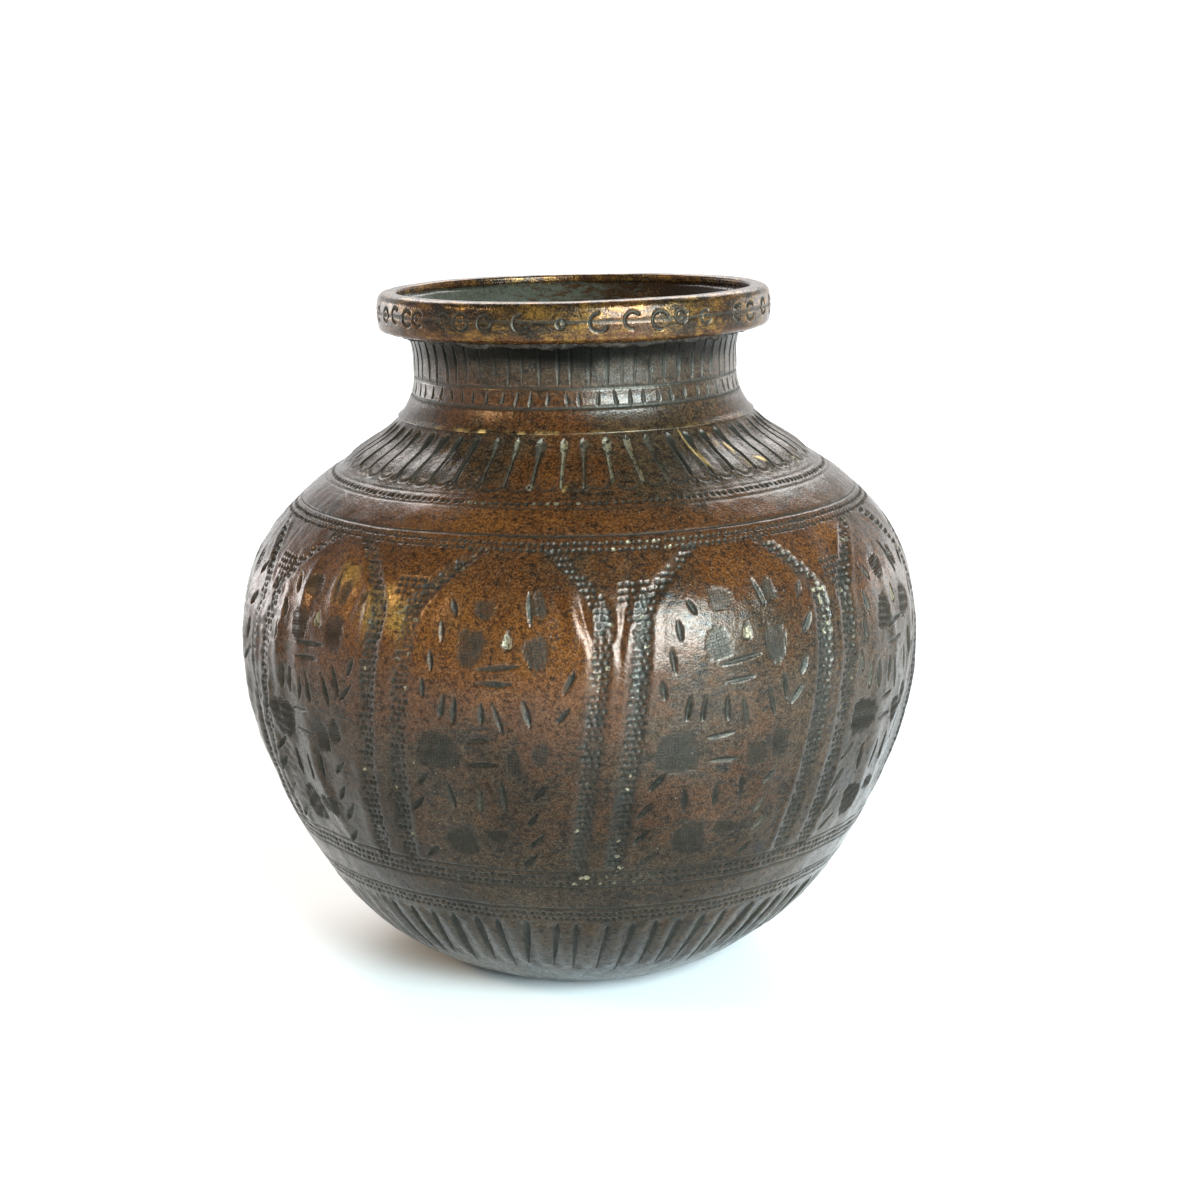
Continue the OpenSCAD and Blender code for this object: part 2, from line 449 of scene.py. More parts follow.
def sink_strip(relief, post, side, worn):
    """Sinks one strip of a post between two low ridges and dusts it with grey dirt."""
    away = (np.radians(turn_gap(relief.theta[None, :],
                                strip_angle(post, side, relief.s)[:, None]))
            * relief.r[:, None])
    zone = (smooth((relief.s - PANEL_END) / 2) * smooth((PANEL_TOP - relief.s) / 1))[:, None]
    relief.swell += zone * (worn * np.exp(-((np.abs(away) - 2.4) / 0.9) ** 2)
                            - (0.12 + worn) * np.exp(-(away / 1.3) ** 2))
    relief.film += (0.1 + 3 * worn) * zone * np.exp(-(away / 1.9) ** 4)


def strip_pits(relief, post, side):
    """Three columns of square pits down a strip; a few of them were never struck."""
    s, row = PANEL_TOP, 0
    while s > PANEL_END:
        dusty = math.exp(-((s - 12) / 5) ** 2) if (post, side) == DUSTY_STRIP else 0.08
        for column in (-1, 0, 1):
            if DRAWS.random() < MISSED_PITS:
                continue
            across = PIT_PITCH * column + 0.35 * (row % 2)
            theta = strip_angle(post, side, s) + math.degrees(across / BELLY_R)
            relief.strike(theta + spread(0.12), s + spread(0.12), 1.2,
                          pit(0.76 + spread(0.14), 0.21 + spread(0.06)), spread(14),
                          pale=DRAWS.random() if DRAWS.random() < dusty * 1.6 else 0)
        s, row = s - PIT_STEP, row + 1


def fork_pits(relief, post):
    """The wedge of pits where a post's two strips part."""
    for row in range(9):
        for column in range(-(row // 3), row // 3 + 1):
            relief.strike(post + 2.6 + 1.15 * column + spread(0.15), 9.0 + 1.25 * row + spread(0.15),
                          1.2, pit(0.74, 0.22), spread(15), pale=0.5 * DRAWS.random())


def posts(relief):
    """Sunk strips of square pits that stand between the panels and arch over them."""
    worn = np.clip(0.12 + 0.13 * noise(relief, 6, 51, 2.0), 0, 1)
    for post in POSTS:
        for side in (-1, 1):
            sink_strip(relief, post, side, worn)
            strip_pits(relief, post, side)
            smear = -3 - 17 * (side > 0) + spread(4)
            relief.bump(relief.film, strip_angle(post, side, smear), smear, 1.3, 6, 0.8)
        fork_pits(relief, post)
        relief.bump(relief.swell, post, 17, 2.6, 8, 0.3)
        relief.bump(relief.swell, post - 1.5, -14, 2.2, 16, 0.22)


# One panel's face, in mm across from its middle and along the wall, for a panel this
# many degrees wide.
PANEL_WIDTH = 31.0
# Patches: across, along, width, height.
PATCHES = [(-3.6, 15, 4.2, 3.6), (-4.7, 7.4, 4.4, 6.6), (6.5, 15.4, 3.2, 5.2), (6.6, 7.2, 4.2, 6.2),
           (-9.7, -10.7, 7.8, 6.8), (4.8, -12.1, 3.8, 5.6), (8.8, -10.6, 3.4, 5.6),
           (-4.7, -28.4, 5.6, 7.2), (2.3, -26.6, 5.4, 3.4)]
# Strokes: across, along, length, lean to the right at the top in degrees.
STROKES = [(-10.8, 10.4, 4.4, -10), (-12.2, 5.4, 4.2, -10), (-13.1, 0.4, 4, -6),
           (-9.2, 14.6, 3.6, -22), (4.4, 15.4, 6.4, -8),
           (12.8, 15, 3.8, 30), (13.4, 8.9, 4.4, 34), (12.8, 2.5, 4.5, 25), (12, -2.9, 4.5, 44),
           (-9, -2.5, 5.2, 8), (-6.4, -3.2, 5.2, 2), (-1.9, -3.6, 4.6, 0), (1, -3.9, 5.7, -14),
           (6.1, -2.5, 6, -14), (8.7, -0.9, 6, -12),
           (-6.9, -19.3, 5.8, -5), (-1.5, -19.3, 5.8, 2), (3.1, -18.7, 6.2, -3),
           (8.9, -17.2, 4.6, 42), (8.8, -22.8, 4.4, 40), (9.6, -27.2, 5.2, 42),
           (8.4, -32.4, 4.4, 38), (-12.6, -16.4, 4.6, 44), (-13.6, -21.6, 5, 42),
           (-13.4, -27, 5, 45), (-11.6, -31.6, 4.6, 48)]
# Bars: across, along, length, rise to the right in degrees.
BARS = [(0, 4.9, 8.4, 3), (0.1, 1.8, 7, 1), (-2.6, -8.1, 5.4, 6), (-1.3, -12.4, 5.8, 3)]


def panel(relief, middle, width):
    """The struck face between two posts, width degrees wide round the angle middle."""
    fit = width / PANEL_WIDTH
    mm = math.degrees(1 / BELLY_R)

    def angle(across, s):
        return middle + fit * across * mm + POST_LEAN * (s - POST_WAIST) + spread(0.35)

    for across, s, wide, tall in PATCHES:
        at = s + spread(0.6)
        relief.strike(angle(across, at), at, max(wide, tall) / 2 + 1,
                      matting(wide + spread(0.8), tall + spread(0.9), 0.13, spread(3)),
                      spread(14), pale=0.25 * DRAWS.random())
    for across, s, length, lean in STROKES:
        at = s + spread(0.5)
        if DRAWS.random() < 0.94:
            relief.strike(angle(across, at), at, length / 2 + 0.8,
                          leaf(length + spread(0.6), 1.35 + spread(0.2), 0.46 + spread(0.08),
                               0.45 + spread(0.15)),
                          lean + spread(5), pale=0.6 * DRAWS.random())
    for across, s, length, rise in BARS:
        relief.strike(angle(across, s), s + spread(0.3), length / 2 + 0.8,
                      leaf(length + spread(0.6), 1.15, 0.4), 90 - rise + spread(5),
                      pale=0.4 * DRAWS.random())
    relief.strike(angle(1.3, 9.6), 9.6, 2.6, wedge(3.4, 2.0, 0.4), spread(5), pale=1.0)


# Soft hills in each panel: side, height on the wall, share of the panel's width, mm tall
# and how far they stand out.
PANEL_SWELLS = [(-1, 14, 0.24, 7, 0.5), (1, 13, 0.22, 7, 0.45),
                (-1, -13, 0.26, 11, 0.3), (1, -15, 0.26, 11, 0.3)]


def specks(relief, count):
    """Tiny pits that hold cream dust, scattered over the wall."""
    for _ in range(count):
        relief.strike(DRAWS.uniform(0, 360), DRAWS.uniform(FLUTE_TOP, SEAM_S), 1.0,
                      pit(0.25 + spread(0.12), 0.1), pale=1.0)


def panels(relief):
    """The pleats and folds of the wall, and the struck faces between the posts."""
    for theta, s, wide, tall, amount in PLEATS:
        relief.bump(relief.swell, theta, s, wide, tall, amount)
    for fold in FOLDS:
        relief.fold(*fold)
    for post, after in zip(POSTS, POSTS[1:] + [POSTS[0] + 360]):
        middle, width = (post + after) / 2, after - post - 2 * POST_HALF
        panel(relief, middle, width)
        for side, s, wide, tall, height in PANEL_SWELLS:
            relief.bump(relief.swell, middle + side * width * 0.22, s, width * wide, tall,
                        height * (1 + spread(0.3)))


# Pleats that the hammer left upright in the wall: angle, height on the wall, degrees
# wide, mm tall and how far they stand out (or, below zero, sink in).
PLEATS = [(-74, -6, 2.4, 16, 0.55), (-68, -12, 2, 20, -0.45), (-59, -8, 2.2, 22, 0.5),
          (-53.5, -14, 1.9, 17, -0.4), (-48, -16, 2.3, 15, 0.4), (-36, -24, 2.6, 9, 0.25),
          (58, -18, 2.6, 14, 0.4), (70, -20, 2.3, 16, -0.4), (78, -14, 2.4, 18, 0.45),
          (125, -12, 2.5, 18, 0.4), (172, -14, 2.4, 16, -0.35), (240, -10, 2.6, 18, 0.4)]

# Slanting folds: angle, height on the wall, length, width, lean to the right at the top
# in degrees and how far they stand out.
FOLDS = [(-0.5, 14, 9, 1.3, -12, 0.4), (1.6, 12.5, 11, 0.8, -14, -0.45), (3.6, 15.5, 7, 1.2, 12, 0.4),
         (5.2, 13.5, 11, 0.8, -11, -0.4), (7.6, 13.5, 11, 0.8, 11, -0.4), (10, 14, 10, 1.3, 8, 0.35),
         (-34, 13.5, 8, 1.6, 14, 0.4), (-38.5, 13, 7, 1.2, 20, -0.35), (-43, 15, 8, 1.5, 6, 0.35),
         (-29, 13.5, 6, 1, 30, 0.3), (-50, 12, 16, 1.6, -4, 0.6), (-56, 3, 20, 1.4, 3, 0.6),
         (-66, 2, 24, 1.5, 2, 0.65), (-61, -20, 22, 1.5, -8, 0.6), (-47, -25, 16, 1.5, -12, 0.5),
         (-17, -4, 14, 1.6, 12, 0.2), (30, -10, 16, 2, -14, 0.25), (20, -24, 18, 2, 20, 0.2),
         (62, 6, 18, 1.6, -6, 0.35), (71, -2, 20, 1.6, 5, 0.4), (140, 4, 18, 1.8, 10, 0.35),
         (200, -8, 20, 1.8, -8, 0.35), (236, 6, 18, 1.6, 6, 0.35)]

# Crumpled places: angle, height on the wall, degrees wide, mm tall and how rough they are.
CRUMPLED_PLACES = [(-62, -6, 18, 28, 0.27), (66, -10, 14, 24, 0.12), (215, 2, 22, 22, 0.2)]

# Warm patina, and at -33, -41 and -28.5 degrees small painted golden highlights: angle, height on the wall,
# degrees wide, mm tall and strength.
WARM_PLACES = [(-38, 15, 26, 12, 0.9), (-33, 13.5, 4, 4.5, 0.9), (-41, 19, 3, 3, 0.8),
               (-28.5, 11.5, 2, 3, 0.7), (52, 24, 5, 3, 0.8), (-12, 6, 24, 16, 0.75), (-22, 32, 34, 7, 0.6),
               (22, 31, 40, 6, 0.5), (28, 21, 16, 6, 0.5), (25, -16, 22, 14, 0.25), (48, 18, 24, 9, 0.4),
               (4, -24, 18, 8, 0.35), (-8, 46, 20, 8, 0.4), (118, 12, 30, 16, 0.6),
               (165, 26, 34, 12, 0.6), (205, -8, 30, 16, 0.45), (250, 14, 26, 14, 0.6)]


def patina(relief, seed):
    """Lays out the warmer and the greyer stretches of the patina."""
    relief.warm += 0.05 + 0.2 * noise(relief, 22, seed) + 0.18 * noise(relief, 7, seed + 1)
    for theta, s, wide, tall, amount in WARM_PLACES:
        relief.bump(relief.warm, theta, s, wide, tall, amount)
    # Darker towards the foot, and in a band round 18 mm below the belly line.
    low = smooth((2 - relief.s) / 26)[:, None]
    relief.soot += low * np.clip(0.16 + 0.18 * noise(relief, 12, seed + 2), 0, 1)
    relief.soot += 0.13 * np.exp(-((relief.s + 18) / 13) ** 2)[:, None]
    relief.bump(relief.film, 34, 45, 13, 6, 0.8)


# Scribed lines round the belly: height on the wall, width and depth.
WALL_LINES = [(BEADS_1 + 1.3, 0.6, 0.08), (BEADS_1 - 1.3, 0.7, 0.1), (28.7, 0.7, 0.2),
              (BEADS_3[0] + 1.3, 0.6, 0.16), (BEADS_3[1] - 1.2, 0.7, 0.2), (BEADS_4[0] + 1.2, 0.6, 0.16)]


def wall_relief(rows):
    """The whole outside decoration of the belly as it falls on the rows given."""
    relief = Relief(wall_path, rows, COLUMNS)
    petals(relief)
    for line in WALL_LINES:
        turned_line(relief, *line)
    bead_row(relief, BEADS_1, pitch=1.3, size=0.8, dusty=(-6, 26))
    for s in BEADS_2:
        bead_row(relief, s, dusty=(14, 14))
    panels(relief)
    posts(relief)
    for s in BEADS_3:
        bead_row(relief, s, pitch=1.2, size=0.8, dusty=(4, 16))
    for s in BEADS_4:
        bead_row(relief, s, pitch=1.2, size=0.7, dusty=(0, 0.1))
    flutes(relief)
    specks(relief, SPECKS)
    patina(relief, 30)
    return relief


def rows_between(low, high, step):
    """Heights from low to high, about step apart."""
    return np.linspace(low, high, max(2, round((high - low) / step) + 1))


def stack(*parts):
    """Joins lists of heights into one rising list without repeats."""
    return np.unique(np.round(np.concatenate(parts), 4))


# ---- meshes from grids
TILT = 1.2
TILT_FROM = 49.0
TILT_OVER = 60.0
TILT_PIVOT = 79.0


def hand_made(points):
    """The beaten pot is not true: its neck and rim lean a little to the left."""
    x, z = points[:, 0].copy(), points[:, 2].copy()
    turn = np.radians(TILT) * smooth((z - TILT_FROM) / TILT_OVER)
    points[:, 0] = x * np.cos(turn) - (z - TILT_PIVOT) * np.sin(turn)
    points[:, 2] = TILT_PIVOT + x * np.sin(turn) + (z - TILT_PIVOT) * np.cos(turn)
    return points


def ring_rows(path, s, columns, height, depth=0.0):
    """Points of rows s of a path, moved height out along the normal and depth in."""
    points, normal = path.at(s), path.normal_at(s)
    out = np.broadcast_to(height - depth, (len(s), columns))
    return [points[:, k, None] + normal[:, k, None] * out for k in (0, 1)]


def grid_faces(rows, columns, closed):
    """Vertex numbers of the quads of a grid that goes round in columns."""
    i = np.arange(rows if closed else rows - 1)[:, None]
    j = np.arange(columns)[None, :]
    low, high, after = i * columns, (i + 1) % rows * columns, (j + 1) % columns
    return np.stack([low + j, low + after, high + after, high + j], -1).reshape(-1, 4)


def cap_faces(row, rows, columns, centre):
    """Vertex numbers of a fan from the point centre to the first or last row of a grid."""
    ring = (row % rows) * columns + np.arange(columns)
    after = np.roll(ring, -1)
    middle = np.full(columns, centre)
    return np.stack([middle, after, ring] if row == 0 else [middle, ring, after], -1)


def linked(name, data):
    """A new object in the scene."""
    made = bpy.data.objects.new(name, data)
    bpy.context.scene.collection.objects.link(made)
    return made


def new_mesh(name, points, loops, sizes):
    """A mesh from points in metres, vertex numbers of all faces in a row and face sizes."""
    mesh = bpy.data.meshes.new(name)
    mesh.vertices.add(len(points))
    mesh.vertices.foreach_set("co", points.astype(np.float32).ravel())
    mesh.loops.add(len(loops))
    mesh.loops.foreach_set("vertex_index", loops.astype(np.int32))
    mesh.polygons.add(len(sizes))
    mesh.polygons.foreach_set("loop_start", (np.cumsum(sizes) - sizes).astype(np.int32))
    mesh.polygons.foreach_set("use_smooth", np.ones(len(sizes), bool))
    mesh.update(calc_edges=True)
    return mesh


def grid_mesh(name, r, z, maps, closed=True, caps=()):
    """Builds a mesh from grids of r and z: rows run along the section and columns round.

    closed joins the last row to the first. caps lists rows (0 or -1) closed with a fan."""
    rows, columns = r.shape
    theta = np.radians(np.arange(columns) * 360.0 / columns)
    points = np.stack([r * np.sin(theta), -r * np.cos(theta), z], -1).reshape(-1, 3)
    quads = grid_faces(rows, columns, closed)
    loops, sizes = quads.ravel(), np.full(len(quads), 4)
    for row in caps:
        loops = np.concatenate([loops, cap_faces(row, rows, columns, len(points)).ravel()])
        sizes = np.concatenate([sizes, np.full(columns, 3)])
        points = np.vstack([points, [[0, 0, z[row].mean()]]])
    mesh = new_mesh(name, hand_made(points) * MM, loops, sizes)
    for key, values in maps.items():
        full = np.zeros(len(points), np.float32)
        full[:values.size] = values.ravel()
        mesh.attributes.new(key, "FLOAT", "POINT").data.foreach_set("value", full)
    return linked(name, mesh)


# Marks at least this deep are full of dirt.
FILLED_DEPTH = 0.16


def finish_maps(relief):
    """Per-point maps that the finishes read."""
    grime = smooth(relief.cut / FILLED_DEPTH)
    film = np.minimum(softened(grime, 4) + relief.film, 1.0)
    return {"grime": grime, "film": film, "soot": np.minimum(relief.soot, 1.0),
            "rubbed": relief.rubbed, "pale": relief.pale, "warm": relief.warm}


def section(*parts):
    """Joins stretches of section, each (r, z, maps or None), into one grid."""
    keys = ("grime", "film", "rubbed", "pale", "warm", "soot", "inside")
    r, z = (np.concatenate([p[k] for p in parts]) for k in (0, 1))
    maps = {k: np.concatenate([np.broadcast_to((p[2] or {}).get(k, 0.0), p[0].shape)
                               for p in parts]) for k in keys}
    return r, z, maps


def inside_rows(low, high, depth, step=3.0):
    """The smooth inner face from high down to low, a sheet's depth in from the outside."""
    s = rows_between(low, high, step)[::-1]
    turns = np.radians(np.arange(COLUMNS) * 360 / COLUMNS)
    lumps = 0.08 * np.sin(s[:, None] * 0.9 + 3 * np.sin(turns * 7)[None, :])
    r, z = ring_rows(wall_path, s, COLUMNS, lumps, depth)
    side = np.sin(turns)[None, :]
    # Painted shade: the inner wall is blackened on the +X side.
    return r, z, {"inside": 1.0, "warm": 0.35 + 0.35 * side, "soot": 0.6 * np.clip(side, 0, 1)}


def beaten(relief, seed, strength=1.0):
    """Adds the soft unevenness that hammering leaves."""
    relief.swell += strength * (0.26 * noise(relief, 26, seed) + 0.14 * noise(relief, 9, seed + 1)
                                + 0.06 * noise(relief, 3.5, seed + 2)
                                + 0.025 * noise(relief, 1.5, seed + 3))


def crumpled(relief, seed):
    """Adds the close, sharp unevenness of the worst beaten places."""
    rough = np.zeros_like(relief.swell)
    for spot in CRUMPLED_PLACES:
        relief.bump(rough, *spot)
    relief.swell += rough * (noise(relief, 2.6, seed, tall=1.8) + 0.5 * noise(relief, 1.3, seed + 1))


# Stretches of the wall, from and to these heights, and how far apart their rows are.
WALL_STRETCHES = [(FOOT_S, FLUTE_END, 0.6), (FLUTE_END, FLUTE_TOP, 0.32),
                  (FLUTE_TOP, BEADS_4[0] + 1.5, 0.24),
                  (BEADS_4[0] + 1.5, BEADS_3[1] - 1.6, 0.4), (BEADS_3[1] - 1.6, 0, 0.27),
                  (0, BEADS_2[0] + 1.8, 0.27), (BEADS_2[0] + 1.8, BEADS_1 - 1.8, 0.4),
                  (BEADS_1 - 1.8, SEAM_S + 0.3, 0.27)]
body = wall_relief(stack([-0.04, 0.04], *(rows_between(*span) for span in WALL_STRETCHES)))
beaten(body, 20)
crumpled(body, 30)
body_maps = finish_maps(body)


def cut_rows(relief, maps, low, high):
    """Outer section between two heights, as (r, z, maps)."""
    pick = (relief.s >= low - 1e-6) & (relief.s <= high + 1e-6)
    r, z = ring_rows(relief.path, relief.s[pick], relief.columns, relief.height()[pick])
    return r, z, {k: v[pick] for k, v in maps.items()}


def flat_ring(rz_list, inside=0.0):
    """Plain rows at the radii and heights given."""
    r, z = np.repeat(np.array(rz_list, float).T[:, :, None], COLUMNS, 2)
    return r, z, {"inside": inside}


def build_lower_bowl():
    """The beaten bowl with its flat foot, which is slightly hollow in the middle."""
    hollow, slope = 0.8, 2.0
    hollow_r = FOOT_R - 4.5
    under = flat_ring([(1.0, hollow), (hollow_r - slope, hollow), (hollow_r, 0.0), (FOOT_R - 1, 0.0)])
    above = flat_ring([(FOOT_R, WALL), (hollow_r, WALL), (hollow_r - slope, hollow + WALL),
                       (1.0, hollow + WALL)], 1.0)
    outer = cut_rows(body, body_maps, FOOT_S, 0)
    inner = inside_rows(FOOT_S + 2.5, 0, WALL)
    return grid_mesh("lower_bowl_skin", *section(under, outer, inner, above), False, caps=(0, -1))


def build_upper_body():
    """The shoulder, with the thin tongue that stands up inside the neck."""
    tongue = inside_rows(SEAM_S + 0.3, LAP_S, WALL / 2, 1.0)
    outer = cut_rows(body, body_maps, 0, SEAM_S + 0.3)
    up = (tongue[0][::-1], tongue[1][::-1], tongue[2])
    return grid_mesh("upper_body_skin", *section(outer, up, inside_rows(0, LAP_S, WALL)))


def build_neck():
    """The collar, lapped over the shoulder below and let into the ring above."""
    rows = stack([SEAM_S + 0.04], rows_between(SEAM_S, RIM_S, 0.26), rows_between(RIM_S, LIP_S, 1.0))
    relief = Relief(wall_path, rows, COLUMNS)
    neck_marks(relief)
    beaten(relief, 40, 0.5)
    relief.swell *= smooth((LIP_S - 4 - relief.s) / 1.5)[:, None]
    relief.cut *= smooth((RIM_S + 0.5 - relief.s) / 0.5)[:, None]
    relief.warm += 0.1 + 0.3 * noise(relief, 9, 46)
    relief.bump(relief.warm, -20, SEAM_S + 4, 24, 5, 0.6)
    outer = cut_rows(relief, finish_maps(relief), SEAM_S, LIP_S)
    lap = inside_rows(SEAM_S, LAP_S, WALL / 2 - 0.02, 1.0)
    return grid_mesh("neck_skin", *section(outer, inside_rows(LAP_S, LIP_S, WALL, 1.0), lap))


def arc_points(centre, radius, start, end, steps=14):
    """Points along an arc from angle start to angle end, as rows of [r, z]."""
    a = np.radians(np.linspace(start, end, steps))
    return np.stack([centre[0] + radius * np.cos(a), centre[1] + radius * np.sin(a)], -1)


RING_MARKS = [(-75, 1.25), (-67, 1.3), (-60, 1.3), (-53, 1.3), (-48, 1.35), (-38, 1.3), (-32, 1.45),
              (-24, 1.35), (-13.5, 1.5), (-2.3, 0.8), (7.2, 1.6), (16.8, 1.55), (24.7, 1.6), (31, 1.1),
              (40, 1.2), (53, 1.3), (60, 1.45), (70, 1.3), (80, 1.4)]


def ring_outline():
    """The closed section of the ring, from the neck along its underside and round."""
    bulge, low_round, high_round, lip_round = 0.25, 1.1, 1.6, 0.5
    lip = cubic(LIP, np.linspace(1, 0, 12))
    mouth = inner_point(LIP_S)
    low = (RIM_R - bulge - low_round, RIM_Z + low_round)
    high = (RIM_R - bulge - high_round, TOTAL_H - high_round)
    brow = (mouth[0] + lip_round, TOTAL_H - lip_round)
    face = cubic([(low[0] + low_round, low[1]), (RIM_R + 0.08, low[1] + 1.6),
                  (RIM_R + 0.08, high[1] - 1.6), (high[0] + high_round, high[1])], FINE[::8])
    return np.concatenate([
        np.stack([np.linspace(NECK_R + 1.2, low[0], 16), np.full(16, RIM_Z)], -1)[:-1],
        arc_points(low, low_round, -90, 0), face[1:-1], arc_points(high, high_round, 0, 90),
        np.stack([np.linspace(high[0], brow[0], 6), np.full(6, TOTAL_H)], -1)[1:-1],
        arc_points(brow, lip_round, 90, 180), [mouth], lip[:-1]])


def mark_ring(relief, middle_s):
    """A line round the ring's face and the round and horseshoe marks struck over it."""
    turned_line(relief, middle_s, 0.55, 0.2)
    marks = list(RING_MARKS)
    theta = 90.0
    while theta < 270:
        marks.append((theta, 1.65))
        theta += 8.5 + spread(2.5)
    for angle, radius in marks:
        gap = 80 + spread(30) if DRAWS.random() < 0.75 else 10
        relief.strike(angle + spread(0.4), middle_s + spread(0.35), radius + 1,
                      ring_punch(radius + spread(0.12), 0.7, 0.4, spread(35), gap))
        if DRAWS.random() < 0.5:
            relief.strike(angle, middle_s, 1.2, pit(0.7, 0.2), spread(30))


def build_rim_ring():
    """The cast ring: a closed section whose outer face carries a line and horseshoe marks."""
    path = Path(ring_outline())
    relief = Relief(path, rows_between(path.s[0], path.s[-1], 0.24), COLUMNS)
    outer = path.at(relief.s)
    middle_z = (RIM_Z + TOTAL_H) / 2 + 0.2
    on_face = outer[:, 0] > RIM_R - 0.9
    mark_ring(relief, float(np.interp(middle_z, outer[on_face, 1], relief.s[on_face])))
    visible = smooth((relief.s - 3) / 2) * smooth((path.s[-1] - 7 - relief.s) / 2)
    relief.swell += visible[:, None] * (0.1 * noise(relief, 12, 61) + 0.05 * noise(relief, 4, 62)
                                        + 0.03 * noise(relief, 1.5, 63))
    relief.warm += 0.3 + 0.3 * noise(relief, 10, 64)
    # A warmer band along the face's lower edge: patina and a painted glint.
    relief.bump(relief.warm, 0, relief.s[on_face][0], 400, 1.3, 0.5)
    face = (*ring_rows(path, relief.s, COLUMNS, relief.height()), finish_maps(relief))
    return grid_mesh("rim_ring_skin", *section(face))


BEAD_SIDES = 24
BEAD_COLUMNS = 720


def build_bead(name, centre, radius, seed, lumps=0.35, squash=1.0):
    """A lumpy run of braze round the axis: a round section whose surface is uneven."""
    turns = np.radians(np.arange(BEAD_SIDES) * 360 / BEAD_SIDES)
    normal = np.stack([np.cos(turns), np.sin(turns)], -1)
    path = Path(centre + normal * (radius * squash, radius))
    relief = Relief(path, path.s, BEAD_COLUMNS)
    uneven = lumps * radius * (noise(relief, 2.2, seed) + 0.6 * noise(relief, 0.9, seed + 1))
    r, z = (path.points[:, k, None] + normal[:, k, None] * uneven for k in (0, 1))
    return grid_mesh(name, r[::-1], z[::-1], {})


# ---- finishes
def node(tree, kind, **values):
    """Adds a node of a kind to a tree and sets its values."""
    made = tree.nodes.new(kind)
    for key, value in values.items():
        setattr(made, key, value)
    return made


class Finish:
    """Wires a procedural material."""

    def __init__(self, name):
        self.material = bpy.data.materials.new(name)
        self.material.use_nodes = True
        self.tree = self.material.node_tree
        self.tree.nodes.clear()
        self.out = node(self.tree, "ShaderNodeOutputMaterial")
        self.shader = node(self.tree, "ShaderNodeBsdfPrincipled")
        self.wire(self.shader.outputs["BSDF"], self.out.inputs["Surface"])
        self.where = node(self.tree, "ShaderNodeTexCoord").outputs["Object"]

    def wire(self, a, b):
        self.tree.links.new(a, b)

    def feed(self, socket, value):
        if isinstance(value, bpy.types.NodeSocket):
            self.wire(value, socket)
        else:
            socket.default_value = value

    def put(self, key, value):
        self.feed(self.shader.inputs[key], value)

    def noise(self, scale, detail=4.0, rough=0.55, stretch=(1, 1, 1), distort=0.0):
        scaled = node(self.tree, "ShaderNodeMapping")
        scaled.inputs["Scale"].default_value = stretch
        self.wire(self.where, scaled.inputs["Vector"])
        made = node(self.tree, "ShaderNodeTexNoise")
        self.wire(scaled.outputs["Vector"], made.inputs["Vector"])
        for key, value in (("Scale", scale), ("Detail", detail), ("Roughness", rough),
                           ("Distortion", distort)):
            made.inputs[key].default_value = value
        return made.outputs["Fac"]

    def map(self, name):
        return node(self.tree, "ShaderNodeAttribute", attribute_name=name).outputs["Fac"]

    def math(self, kind, a, b=0.0, c=0.0):
        made = node(self.tree, "ShaderNodeMath", operation=kind)
        for socket, value in zip(made.inputs, (a, b, c)):
            self.feed(socket, value)
        return made.outputs[0]

    def ramp(self, value, low, high, start=0.0, end=1.0):
        made = node(self.tree, "ShaderNodeMapRange", interpolation_type="SMOOTHSTEP")
        for socket, given in zip(made.inputs, (value, low, high, start, end)):
            self.feed(socket, given)
        return made.outputs[0]

    def mix(self, share, a, b):
        made = node(self.tree, "ShaderNodeMix", data_type="RGBA")
        self.feed(made.inputs["Factor"], share)
        for socket, colour in ((made.inputs[6], a), (made.inputs[7], b)):
            self.feed(socket, (*colour, 1.0) if isinstance(colour, tuple) else colour)
        return made.outputs[2]

    def mix_value(self, share, a, b):
        made = node(self.tree, "ShaderNodeMix", data_type="FLOAT")
        for socket, given in zip((made.inputs[0], made.inputs[2], made.inputs[3]), (share, a, b)):
            self.feed(socket, given)
        return made.outputs[0]

    def bump(self, height, distance, before=None):
        made = node(self.tree, "ShaderNodeBump")
        made.inputs["Strength"].default_value = 1.0
        made.inputs["Distance"].default_value = distance * MM
        self.wire(height, made.inputs["Height"])
        if before is not None:
            self.wire(before, made.inputs["Normal"])
        return made.outputs["Normal"]


DARK_BROWN = (0.014, 0.0095, 0.0070)
UMBER = (0.054, 0.0285, 0.0120)
RED_BROWN = (0.076, 0.0255, 0.0066)
ORANGE = (0.128, 0.043, 0.0074)
OLD_GOLD = (0.24, 0.120, 0.024)
# Black for painted shade under the ring and inside the mouth, and for the darkening towards the foot.
SOOT_AND_SHADE = (0.006, 0.006, 0.005)
GREY_DIRT = (0.024, 0.0235, 0.0195)
PALE_DIRT = (0.24, 0.20, 0.13)
BRASS = (0.62, 0.40, 0.14)
INSIDE_GREY = (0.052, 0.050, 0.036)
INSIDE_RED = (0.034, 0.0155, 0.0065)


